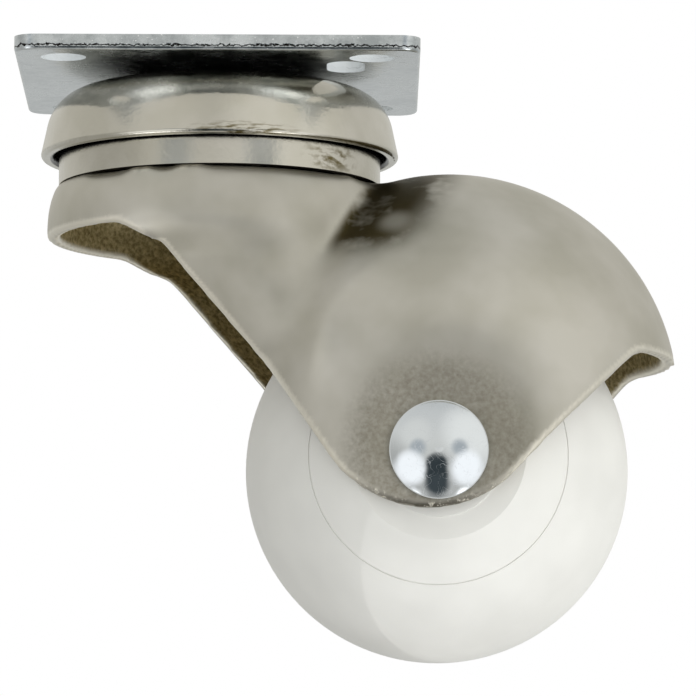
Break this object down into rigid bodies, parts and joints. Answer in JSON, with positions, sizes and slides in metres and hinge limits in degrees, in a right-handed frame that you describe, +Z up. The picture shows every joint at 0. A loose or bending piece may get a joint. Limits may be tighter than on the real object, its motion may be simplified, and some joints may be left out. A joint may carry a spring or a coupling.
{
  "type": "furniture castor",
  "caption": "Swivel castor with a square screw-on plate, a one-piece pressed metal hood and a white plastic ball wheel.",
  "frame": {"origin": "centre of the plate's upper mounting face, on the swivel axis", "axes": "+Z up out of the plate's mounting face along the swivel axis; the wheel trails towards +X; the axle lies along Y"},
  "size_m": [0.069, 0.0446, 0.063],
  "materials": {
    "zinc_plate": "satin bluish zinc plating",
    "nickel_plate": "warm bright nickel plating on pressed steel",
    "bright_zinc": "polished bright zinc",
    "ball_steel": "ground steel",
    "white_plastic": "matt white moulded plastic"
  },
  "bodies": {
    "mount": {"top_plate": "zinc_plate", "upper_race_cup": "nickel_plate", "king_pin": "bright_zinc", "king_pin_washer": "zinc_plate"},
    "ball_row": {"bearing_ball_01": "ball_steel", "bearing_ball_02": "ball_steel", "bearing_ball_03": "ball_steel", "bearing_ball_04": "ball_steel", "bearing_ball_05": "ball_steel", "bearing_ball_06": "ball_steel", "bearing_ball_07": "ball_steel", "bearing_ball_08": "ball_steel", "bearing_ball_09": "ball_steel", "bearing_ball_10": "ball_steel", "bearing_ball_11": "ball_steel", "bearing_ball_12": "ball_steel"},
    "horn": {"horn": "nickel_plate", "lower_race": "nickel_plate", "axle_rivet": "bright_zinc"},
    "wheel": {"wheel": "white_plastic"}
  },
  "joints": [
    {"name": "swivel", "type": "hinge", "parent": "mount", "child": "horn", "pos_m": [0, 0, 0], "axis": [0, 0, 1], "continuous": true},
    {"name": "ball_orbit", "type": "hinge", "parent": "mount", "child": "ball_row", "pos_m": [0, 0, 0], "axis": [0, 0, 1], "continuous": true},
    {"name": "wheel_spin", "type": "hinge", "parent": "horn", "child": "wheel", "pos_m": [0.023, 0, -0.04291], "axis": [0, 1, 0], "continuous": true}
  ],
  "couplings": [
    {"joint": "ball_orbit", "follows": "swivel", "ratio": 0.5}
  ]
}
